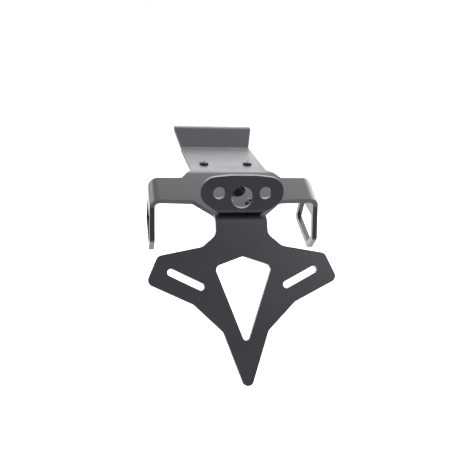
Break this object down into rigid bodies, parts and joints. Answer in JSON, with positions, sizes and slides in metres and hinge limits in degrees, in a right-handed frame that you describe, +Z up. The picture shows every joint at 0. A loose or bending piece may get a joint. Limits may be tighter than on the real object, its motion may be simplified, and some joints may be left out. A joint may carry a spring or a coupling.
{
  "type": "tail tidy",
  "caption": "Folded sheet-steel tail bracket with a sloping ramp, side arms with windowed indicator tabs, a kite-cut number-plate hanger and an upright lamp bracket.",
  "frame": {"origin": "midway between the two frame bolts, on the top plate's underside", "axes": "+Z up, out of the top plate; +X across the bike; -Y toward the number-plate side"},
  "size_m": [0.173, 0.2736, 0.1778],
  "materials": {
    "powder_coat": "satin black powder coat",
    "fastener": "black zinc, satin",
    "rubber": "matt black rubber"
  },
  "bodies": {
    "root": {"main_bracket": "powder_coat", "lamp_bracket": "powder_coat", "wiring_plug": "rubber", "frame_bolts": "fastener", "lamp_bolts": "fastener", "lamp_washers": "fastener", "lamp_nuts": "fastener"}
  },
  "joints": []
}
